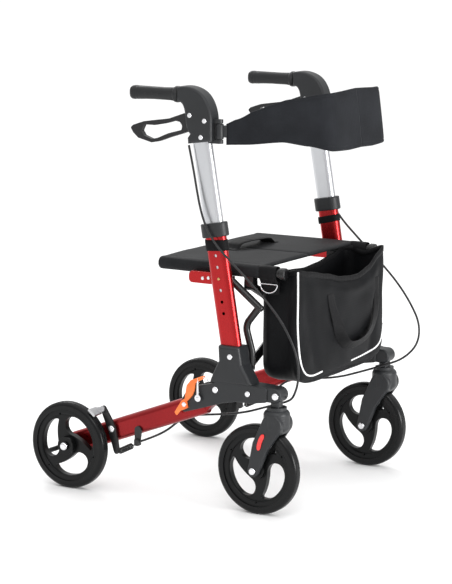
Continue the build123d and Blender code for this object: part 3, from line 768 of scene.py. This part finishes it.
def add_tipping_lever(side):
    """Short foot lever behind the rear axle, for tipping the walker up a kerb."""
    y = 250 * SIDES[side]
    path = smooth_path([at(x, y, z) for x, z in ((-21, 92), (-42, 84), (-64, 75), (-86, 66))], 6)
    lever = round_tube("tipping_lever_" + side, path, 0.0048, "black_metal", "leg_" + side, sides=20)
    rings = []
    for share, radius in TIPPING_PAD:
        middle = path[-1].lerp(path[-8], 1 - share)
        rings.append([middle + Vector((0, math.cos(t), math.sin(t))) * radius / 1000
                      for t in circle_turns(24)])
    pad = ring_loft("tipping_pad_" + side, rings, "grip_rubber", "leg_" + side)


for side in SIDES:
    add_tipping_lever(side)
    add_spring(side)
    add_reflector(side)
    add_link(side)
    blacken_brackets(side)
add_tie_band("right", 575, 599, 0.06)
add_tie_band("left", 580, 596, 0.22)
add_tie_tail()


# ---------------------------------------------------------------- seat
SEAT_REAR, SEAT_FRONT = 197.0, 462.0
RAIL_Y, RAIL_AXIS_Z = 205.0, 527.0
PAD_EDGE_Y = 192.0
PAD_MIDDLE_Z, PAD_TOP_Z, PAD_LOW_Z = 536.6, 541.2, 532.2
PAD_POINTS = 30
SLEEVE_POINTS = 26
SEAM_INSET = 12  # from the seat's front and rear edges to its sewn lines
SEAT_STATIONS = 54
SEAT_ENDS = (  # distance from the end, fill, radius of the sleeve round the rail
    (0.0, 0.05, 6.0), (0.6, 0.35, 10.5), (1.8, 0.62, 12.8), (3.5, 0.82, 14.0), (6.0, 0.95, 14.6))


def seat_ring(side, x, fill, sleeve_radius):
    """Section across one half: crowned pad from the middle, then the sleeve round the rail."""
    s = SIDES[side]
    upper, lower = [], []
    for k in range(PAD_POINTS + 1):
        y = 0.25 + (PAD_EDGE_Y - 0.25) * k / PAD_POINTS
        edge = min(1.0, (y / 2.2) ** 0.5)
        crown = 1.1 * math.sin(math.pi * min(1, y / PAD_EDGE_Y)) * fill
        ripple = cloth_noise(Vector((x / 1000, y * s / 1000, 0)), 14, 0.9, 3.1)
        ripple *= fill * min(1, y / 30)
        dip = -1.6 * math.exp(-((y / 9) ** 2)) * fill
        groove = 0.0
        for line in (SEAT_REAR + SEAM_INSET, SEAT_FRONT - SEAM_INSET):
            groove -= 0.5 * math.exp(-(((x - line) / 1.6) ** 2))
        rise = (PAD_TOP_Z - PAD_MIDDLE_Z) * edge * fill
        fall = (PAD_MIDDLE_Z - PAD_LOW_Z) * edge * fill
        upper.append((y, PAD_MIDDLE_Z + rise + crown + ripple + dip + groove))
        lower.append((y, PAD_MIDDLE_Z - fall + ripple * 0.6 + dip * 0.4 - groove))
    arc = []
    for k in range(SLEEVE_POINTS + 1):
        turn = math.radians(104 - (104 + 196) * k / SLEEVE_POINTS)
        fold = 1 + 0.014 * math.sin(9 * turn + x * 0.021) + 0.01 * cloth_noise(
            Vector((x / 1000, turn, 0)), 9, 1, 7)
        r = sleeve_radius * fold
        arc.append((RAIL_Y + r * math.cos(turn), RAIL_AXIS_Z + r * math.sin(turn)))
    section = upper + arc + lower[::-1]
    return [at(x, y * s, z) for y, z in section]


def add_seat(side):
    body = "seat_half_" + side
    stations = [(SEAT_REAR + d, fill, r) for d, fill, r in SEAT_ENDS]
    for k in range(1, SEAT_STATIONS):
        x = SEAT_REAR + 6 + (SEAT_FRONT - SEAT_REAR - 12) * k / SEAT_STATIONS
        stations.append((x, 1.0, 14.7))
    stations += [(SEAT_FRONT - d, fill, max(r, 11.6)) for d, fill, r in reversed(SEAT_ENDS)]
    rings = [seat_ring(side, *station) for station in stations]
    seat = ring_loft("seat_cover_" + side, rings, "seat_fabric", body)
    finish_soft(["seat_" + side])
    add_seat_stitches(side, body)


STITCH_PITCH = 0.0042
STITCH_LENGTH = 0.0027
STITCH_WIDTH = 0.0007


def stitch_row(points, faces, start, end):
    """Adds small thread stitches along a level straight line to a mesh's lists."""
    up = Vector((0, 0, 1))
    run = end - start
    along = run.normalized()
    across = along.cross(up).normalized()
    for k in range(int(run.length / STITCH_PITCH)):
        middle = start + along * (STITCH_PITCH * (k + 0.5))
        base = len(points)
        for a, h in ((-0.5, 0.1), (-0.25, 1.0), (0.25, 1.0), (0.5, 0.1)):
            centre = middle + along * (a * STITCH_LENGTH) + up * (h * STITCH_WIDTH * 0.55)
            for c in (-0.5, 0.5):
                points.append(centre + across * (c * STITCH_WIDTH))
            points.append(centre - up * STITCH_WIDTH * 0.6)
        for r in range(3):
            a, b = base + 3 * r, base + 3 * (r + 1)
            faces += [(a, a + 1, b + 1, b), (a + 1, a + 2, b + 2, b + 1), (a + 2, a, b, b + 2)]
        faces += [(base, base + 2, base + 1), (base + 9, base + 10, base + 11)]


def add_seat_stitches(side, body):
    s = SIDES[side]
    points, faces = [], []
    rear, front = SEAT_REAR + SEAM_INSET, SEAT_FRONT - SEAM_INSET
    for x in (rear, front):
        stitch_row(points, faces, at(x, s * 6, 541.0), at(x, s * 188, 541.0))
    stitch_row(points, faces, at(rear, s * 187, 541.2), at(front, s * 187, 541.2))
    stitches = mesh_object("seat_stitches_" + side, points, faces, "thread", body, smooth=False)


thread = new_material("sewing_thread", (0.03, 0.03, 0.032), 0.5)
add_bump(thread, grain(thread, 2500, 2), 0.4, 0.0001)
vary_roughness(thread, grain(thread, 200, 2), 0.4, 0.6)
MATERIALS["thread"] = thread

for side in SIDES:
    add_seat(side)


STRAP_LINE = {  # y, z
    "right": ((-64, 541.6), (-58, 542.0), (-52, 543.0), (-47, 547.5),
              (-41, 554.0), (-28, 556.5), (-12, 557.3), (0, 557.4)),
    "left": ((0, 557.4), (30, 557.4), (58, 556.8), (74, 554.5),
             (81, 548.5), (87, 544.0), (94, 542.6), (104, 542.0)),
}
STRAP_X, STRAP_SLANT = 292, 0.10
STRAP_STITCHES = {"right": (-62, -48), "left": (88, 102)}  # y of the sewn box at each end
STRAP_STITCH_Z = 544.4
STRAP_STITCH_INSET = 19  # half the sewn box's width


def add_pull_strap(side):
    """Raised webbing handle across the middle of the seat; it bends at the seat's own fold."""
    body = "seat_half_" + side
    path = smooth_path([at(STRAP_X + STRAP_SLANT * y, y, z) for y, z in STRAP_LINE[side]], 6)
    strap = flat_strap("seat_pull_strap_" + side, path, Vector((1, -STRAP_SLANT, 0)), 0.044, 0.0052,
                       body)
    finish_soft()
    points, faces = [], []
    y0, y1 = STRAP_STITCHES[side]
    rear, front = STRAP_X - STRAP_STITCH_INSET, STRAP_X + STRAP_STITCH_INSET
    z = STRAP_STITCH_Z
    for x in (rear, front):
        stitch_row(points, faces, at(x, y0, z), at(x, y1, z))
    for y in (y0, y1):
        stitch_row(points, faces, at(rear, y, z), at(front, y, z))
    stitches = mesh_object("strap_stitches_" + side, points, faces, "thread", body, smooth=False)


for side in SIDES:
    add_pull_strap(side)


# ---------------------------------------------------------------- backrest
BAND_TOP = (  # distance along the band from the elbow's pin, height of its upper edge
    (0, 845), (8, 847), (35, 858), (80, 878), (110, 889), (150, 900), (235, 912), (370, 917))
BAND_LOW = (
    (0, 812), (10, 803), (60, 803), (130, 808), (185, 799), (235, 788), (300, 786), (370, 788))
BAND_LEAN = 0.008  # the band's lower edge stands this far forward of its middle
BAND_ROUTE = (  # x, y from the elbow to the middle
    (392, 242.5), (420, 224.5), (470, 190.5), (520, 157.5), (548, 139.5), (571, 122),
    (580, 108), (582, 84), (582, 50), (582, 20), (582, 0.1))
BAND_HALF_THICKNESS = 3.7
BAND_HALF_SECTION = (  # height as a share of the half, thickness share; sewn hem groove at 0.885
    (1.0, 0.12), (0.985, 0.55), (0.95, 0.86), (0.905, 0.9), (0.885, 0.70), (0.865, 0.9),
    (0.80, 1.0), (0.6, 1.05), (0.3, 1.08))
BAND_SECTION = (BAND_HALF_SECTION + ((0.0, 1.09),)
                + tuple((-v, t) for v, t in reversed(BAND_HALF_SECTION)))


def add_backrest(side):
    s = SIDES[side]
    path = smooth_path([at(x, y * s, 0) for x, y in BAND_ROUTE], 12)
    reach = [0.0]
    for a, b in zip(path, path[1:]):
        reach.append(reach[-1] + (b - a).length * 1000)
    rings = []
    for i, (point, across, _) in enumerate(frames_along(path)):
        d = reach[i] + 12
        top, low = blend_values(BAND_TOP, d), blend_values(BAND_LOW, d)
        end = min(1.0, (reach[i] + 0.4) / 4) ** 0.5
        lean = BAND_LEAN * min(1.0, reach[i] / 190) ** 1.5
        middle, half = (top + low) / 2, (top - low) / 2
        wave = cloth_noise(Vector((point.x, point.y, 0)), 9, 0.5, 5)
        ring = []
        for face, section in ((1, BAND_SECTION), (-1, BAND_SECTION[::-1])):
            for v, t in section:
                offset = across * (face * BAND_HALF_THICKNESS * t * end / 1000)
                rise = (middle + half * v + wave * v) / 1000
                ring.append(point + offset + Vector((-lean * v, 0, rise)))
        rings.append(ring)
    band = ring_loft("backrest_band_" + side, rings, "backrest_fabric", "band_" + side)
    finish_soft(["backrest_" + side])
    add_backrest_hinge(side)


BARREL = (  # z, radius
    (815.4, 7.2), (816, 8.4), (818, 9), (830, 8.8), (846, 9), (848, 8.4), (848.6, 7.2))


def add_backrest_hinge(side):
    """Moulded barrel that turns on the elbow's pin, with the flat tongue sewn into the band."""
    s = SIDES[side]
    rings = [[at(380 + r * math.cos(t), s * (250 + r * math.sin(t)), z) for t in circle_turns(28)]
             for z, r in BARREL]
    barrel = ring_loft("backrest_barrel_" + side, rings, "black_plastic", "band_" + side)
    path = [at(x, y * s, 832) for x, y in ((383, 247.8), (390, 243.6), (400, 237.2), (412, 229.4))]
    tongue = flat_strap("backrest_tongue_" + side, path, Vector((0, 0, 1)), 0.026, 0.0062,
                        "band_" + side, "black_plastic", 2)


for side in SIDES:
    add_backrest(side)


# ---------------------------------------------------------------- bag
BAG_TOP_FRONT = (  # y, height of the open edge
    (-201, 537), (-150, 527), (-74, 512), (-10, 497), (40, 492), (72, 492), (124, 504),
    (165, 527), (201, 541))
BAG_TOP_REAR = ((-176, 536), (-134, 522), (-60, 511), (0, 507), (61, 511), (134, 522), (176, 536))
BAG_FLOOR_EDGE = 287.0  # height of the floor's edge, then of the floor's middle
BAG_FLOOR_LOW = 270
BAG_FLOOR_RIM = 283
BAG_CORNER = 36.0  # the panels' bottom corners are rounded
BAG_REAR_X, BAG_MIDDLE_X, BAG_FRONT_X = 449, 498, 548
BAG_HALF_PLAN = (  # x, y of the left half, from the middle of the rear panel to that of the front
    (449, 0), (449, 60), (449, 120), (449, 165), (450, 181), (453.5, 189), (462, 191.5),
    (478, 190), (495, 188.5), (512, 187.5), (522, 188), (528, 191), (534, 196), (540, 200.5),
    (544, 200), (546, 193), (547, 176), (547.5, 140), (548, 90), (548, 45), (548, 0))
BAG_FLOOR_SHARES = (0.04, 0.2, 0.4, 0.6, 0.76, 0.88, 0.95)
BAG_LEVELS = ([0.0, 0.012, 0.03, 0.055] + [0.085 + 0.86 * k / 34 for k in range(34)]
              + [0.955, 0.962, 0.966, 0.975, 0.985, 1.0])


def bag_outline():
    """Plan of the bag, all round: finely spaced points with softened corners."""
    mirrored = tuple((x, -y) for x, y in BAG_HALF_PLAN[-2:0:-1])
    controls = [Vector((x, y, 0)) for x, y in BAG_HALF_PLAN + mirrored]
    fine = []
    for i, point in enumerate(controls):
        after = controls[(i + 1) % len(controls)]
        steps = max(1, int((after - point).length / 7))
        fine += [point.lerp(after, k / steps) for k in range(steps)]
    for _ in range(2):
        fine = [(fine[i - 1] + fine[i] * 2 + fine[(i + 1) % len(fine)]) / 4
                for i in range(len(fine))]
    return fine


def bag_top(point):
    """Height of the bag's open edge at a point of its plan."""
    front = blend_values(BAG_TOP_FRONT, point.y)
    rear = blend_values(BAG_TOP_REAR, point.y)
    share = (point.x - BAG_REAR_X) / (BAG_FRONT_X - BAG_REAR_X)
    height = rear + (front - rear) * share
    if abs(point.y) > 170:
        height -= 11 * math.sin(math.pi * min(1, max(0, (point.x - 452) / 88))) ** 2
    return height


def bag_shape(point, level):
    """Place on the bag's wall: level runs from 0 at the floor's edge to 1 at the open edge."""
    top = bag_top(point)
    z = BAG_FLOOR_EDGE + (top - BAG_FLOOR_EDGE) * level
    x, y = point.x, point.y
    depth = max(0.0, min(1.0, (BAG_FLOOR_EDGE + BAG_CORNER - z) / BAG_CORNER))
    narrow = BAG_CORNER * (1 - math.sqrt(max(0.0, 1 - depth * depth))) * 0.93
    y -= math.copysign(min(abs(y), narrow * min(1, abs(y) / 120)), y)
    front = max(0.0, (point.x - 500) / 48)  # 1 on the front panel
    rear = max(0.0, (500 - point.x) / 51)  # 1 on the rear panel
    middle = math.cos(min(1, abs(point.y) / 200) * math.pi / 2)
    belly = math.sin(math.pi * min(1, level * 1.02) ** 0.8)
    where = Vector((point.x / 1000 * 0.6, point.y / 1000, z / 1000))
    crease = cloth_noise(where, 9, 5.5, 2.0) + cloth_noise(where, 22, 2.2, 5.0)
    if front > 0.5:
        x += 7 * belly * middle + crease * 0.75 * (0.35 + 0.65 * belly)
        pull = math.exp(-((level - 0.86) / 0.07) ** 2) * math.exp(-((point.y - 40) / 120) ** 2)
        x += 5 * pull - 6 * math.exp(-((level - 0.95) / 0.05) ** 2) * middle
        fold = (abs(point.y) - 150 - 60 * (level - 0.5)) / 16
        x -= 4.5 * math.exp(-fold ** 2) * belly
    elif rear > 0.6:
        x -= 1.5 * belly * middle
        x += crease * 0.3
    else:
        side_way = math.copysign(1, y)
        gusset = math.sin(math.pi * min(1, max(0, (x - 462) / 75)))
        y += side_way * (crease * 0.8 - 2.0 * belly * gusset)
        low_rear = math.exp(-((level - 0.33) / 0.26) ** 2) * math.exp(-((x - 455) / 30) ** 2)
        y += side_way * 9 * low_rear
    if level > 0.93:
        x += (0.8 if front > 0.5 else -0.8) * (1 if abs(point.y) < 165 else 0)
    return at(x, y, z)


def add_bag():
    outline = bag_outline()
    rings = []
    for share in BAG_FLOOR_SHARES:
        ring = []
        for point in outline:
            edge = bag_shape(point, 0.0)
            inner = Vector((BAG_MIDDLE_X + (point.x - BAG_MIDDLE_X) * share,
                            (edge.y * 1000) * share, 0))
            sag = BAG_FLOOR_LOW + (BAG_FLOOR_RIM - BAG_FLOOR_LOW) * share ** 3
            sag += cloth_noise(inner / 1000, 12, 2.5, 9)
            ring.append(at(inner.x, inner.y, sag))
        rings.append(ring)
    middle_x = at(BAG_MIDDLE_X, 0, 0).x
    for level in BAG_LEVELS:
        ring = []
        for point in outline:
            place_on = bag_shape(point, level)
            if level < 0.03:  # rounds the floor's edge
                pull_in = (0.03 - level) / 0.03
                place_on.x += (middle_x - place_on.x) * 0.10 * pull_in
                place_on.y -= place_on.y * 0.02 * pull_in
                place_on.z -= 0.003 * pull_in
            ring.append(place_on)
        rings.append(ring)
    bag = ring_loft("bag_shell", rings, "bag_fabric", caps=False)
    data = bmesh.new()
    data.from_mesh(bag.data)
    data.verts.ensure_lookup_table()
    data.faces.new([data.verts[k] for k in range(len(outline))][::-1])  # closes the floor
    data.to_mesh(bag.data)
    data.free()
    bag.data.polygons.foreach_set("use_smooth", [True] * len(bag.data.polygons))
    thicken(bag, 0.0022, -1)
    subdivide(bag, 1)
    apply_modifiers(bag)
    finish_soft(["bag"])
    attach(bag, "bag_body")
    return bag


def follow_bag(obj):
    """Gives the bag, or what is sewn to it, its own copy of its mesh."""
    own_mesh(obj)


def front_point(y, z, lift):
    """Point on the front panel at a height, this far proud of the cloth in mm."""
    plan = Vector((BAG_FRONT_X - max(0, (abs(y) - 176)) * 0.10, y, 0))
    top = bag_top(plan)
    level = (z - BAG_FLOOR_EDGE) / (top - BAG_FLOOR_EDGE)
    found = bag_shape(plan, max(0.0, min(1.0, level)))
    found.x += lift / 1000
    found.y = y / 1000
    found.z = z / 1000
    return found


PIPING = {  # y, z on the front panel
    "near": ((-200, 533), (-199, 500), (-198, 460), (-197, 420), (-195, 380), (-193, 345),
             (-187, 322), (-172, 304), (-150, 296), (-120, 294), (-96, 297)),
    "far": ((34, 299), (66, 300), (98, 302), (134, 304), (160, 309), (180, 320), (192, 340),
            (197, 358)),
}


def add_bag_piping():
    """White piping round the front panel's lower corners."""
    for name, line in PIPING.items():
        path = smooth_path([front_point(y, z, 1.2) for y, z in line], 6)
        piping = round_tube("bag_piping_" + name, path, 0.0021, "piping", "bag_body", sides=10)
        finish_soft()
        follow_bag(piping)


HANDLE_ROUTE = (
    # y, z, lift from the panel, direction of the webbing's width
    (-66, 468, 0.8, (0, 1, 0)), (-64, 450, 1.5, (0, 1, 0)), (-56, 420, 6, (0.15, 1, 0.05)),
    (-46, 392, 9, (0.35, 0.95, 0.1)), (-38, 366, 11, (0.75, 0.6, 0.3)),
    (-22, 348, 12, (0.85, 0.2, 0.55)), (4, 341, 12, (0.72, 0, 0.75)),
    (40, 340, 12, (0.62, -0.1, 0.8)), (78, 345, 11, (0.45, -0.3, 0.85)),
    (114, 358, 9, (0.25, -0.65, 0.75)), (142, 380, 7, (0.1, -0.9, 0.45)),
    (156, 410, 5, (0, -1, 0.1)), (156, 440, 2, (0, -1, 0)), (152, 462, 1, (0, -1, 0)),
    (150, 474, 0.8, (0, -1, 0)),
)


def add_bag_handle():
    """Carrying handle of webbing that hangs in a U on the front panel."""
    path = smooth_path([front_point(y, z, lift + 1.0) for y, z, lift, _ in HANDLE_ROUTE], 6)
    ways = smooth_path([Vector(w).normalized() for *_, w in HANDLE_ROUTE], 6)
    strap = flat_strap("bag_handle", path, [w.normalized() for w in ways], 0.028, 0.0024, "bag_body")
    finish_soft()
    follow_bag(strap)


HEM_SECTION = (  # outwards, upwards from the open edge
    (1.3, 0.8), (0.2, 1.4), (-1.6, 1.4), (-2.8, 0.6), (-3.0, -5), (-2.8, -10.5), (-1.2, -11),
    (0.6, -11), (1.4, -10.5), (1.7, -5))


def add_bag_hem():
    """Turned hem along the open edge."""
    path = [bag_shape(p, 0.995) for p in bag_outline()]
    outward = []
    for i in range(len(path)):
        along = path[(i + 1) % len(path)] - path[i - 1]
        outward.append(along.cross(Vector((0, 0, 1))).normalized())
    rings = []
    for p, out in zip(path, outward):
        rings.append([p + out * o / 1000 + Vector((0, 0, h / 1000)) for o, h in HEM_SECTION])
    hem = ring_loft("bag_hem", rings, "webbing", "bag_body", closed_path=True)
    finish_soft()
    follow_bag(hem)


RAIL_LOOP = (  # y, z up the outside of the bag, over the rail and back down
    (198, 478), (198.5, 492), (197, 506), (193.5, 517), (191.7, 527), (194, 536.5), (200, 541.4),
    (207, 542.2), (214, 539), (218.3, 531), (217.5, 521), (212, 513), (206, 506), (202.5, 492),
    (202, 478))
RAIL_LOOP_X = 479


def add_rail_loop(side):
    """Webbing loop that hangs the bag on a seat rail, with a D-ring in its lower end."""
    s = SIDES[side]
    path = smooth_path([at(RAIL_LOOP_X, s * y, z) for y, z in RAIL_LOOP], 5)
    loop = flat_strap("rail_loop_" + side, path, Vector((1, 0, 0)), 0.044, 0.0022, "bag_body")
    finish_soft()
    bow = [at(RAIL_LOOP_X + 21 * math.cos(a), s * (207.5 + 2 * math.sin(a)), 500 - 17 * math.sin(a))
           for a in [math.pi * k / 14 for k in range(15)]]
    closed = bow + [at(RAIL_LOOP_X + x, s * 207.5, 502) for x in (-21, -14, -7, 0, 7, 14, 21)]
    d_ring = round_tube("d_ring_" + side, smooth_path(closed, 4, closed=True), 0.0014, "bright_steel",
                        "bag_body", sides=8, closed=True)
    if side == "left":
        follow_bag(loop)
        follow_bag(d_ring)


bag_shell = add_bag()
follow_bag(bag_shell)
add_bag_piping()
add_bag_handle()
add_bag_hem()
for side in SIDES:
    add_rail_loop(side)
